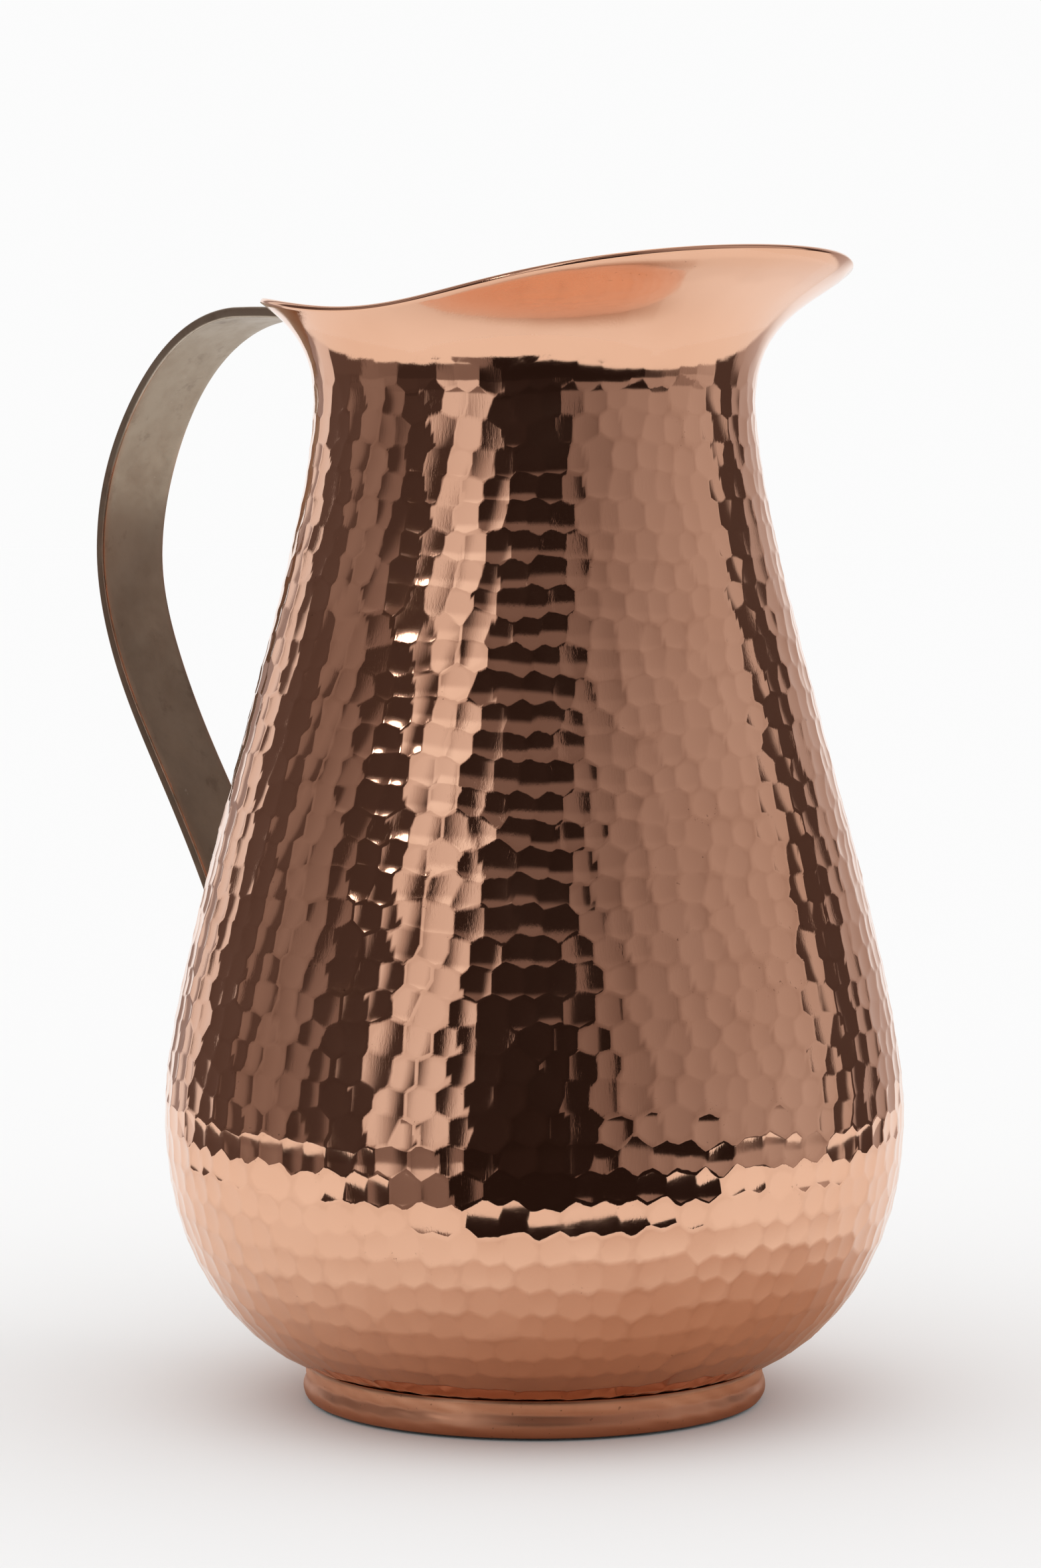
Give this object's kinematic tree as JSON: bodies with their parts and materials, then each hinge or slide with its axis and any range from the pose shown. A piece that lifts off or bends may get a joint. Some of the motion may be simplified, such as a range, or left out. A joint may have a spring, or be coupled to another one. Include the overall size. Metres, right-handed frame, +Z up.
{
  "type": "copper water jug",
  "caption": "Hammered copper water jug with a flared, swept mouth, a plain foot ring and a riveted dark strap handle.",
  "frame": {"origin": "middle of the whole jug's bounding box at floor level, under the foot ring", "axes": "+Z up through the jug's own axis direction, -X towards the handle, +X towards the spout, Y across"},
  "size_m": [0.201, 0.154, 0.2372],
  "materials": {
    "copper": "hammered and polished copper",
    "satin_copper": "plain satin copper",
    "dark_patina": "dark brown patina on copper, worn at the edges",
    "rivet_copper": "hammered copper rivet",
    "solder": "dull grey solder"
  },
  "bodies": {
    "root": {"body_shell": "copper", "foot_ring": "satin_copper", "foot_solder_fillet": "solder", "handle_strap": "dark_patina", "rivet_neck_upper": "rivet_copper", "rivet_neck_lower": "rivet_copper", "rivet_belly_upper": "rivet_copper", "rivet_belly_lower": "rivet_copper"}
  },
  "joints": []
}
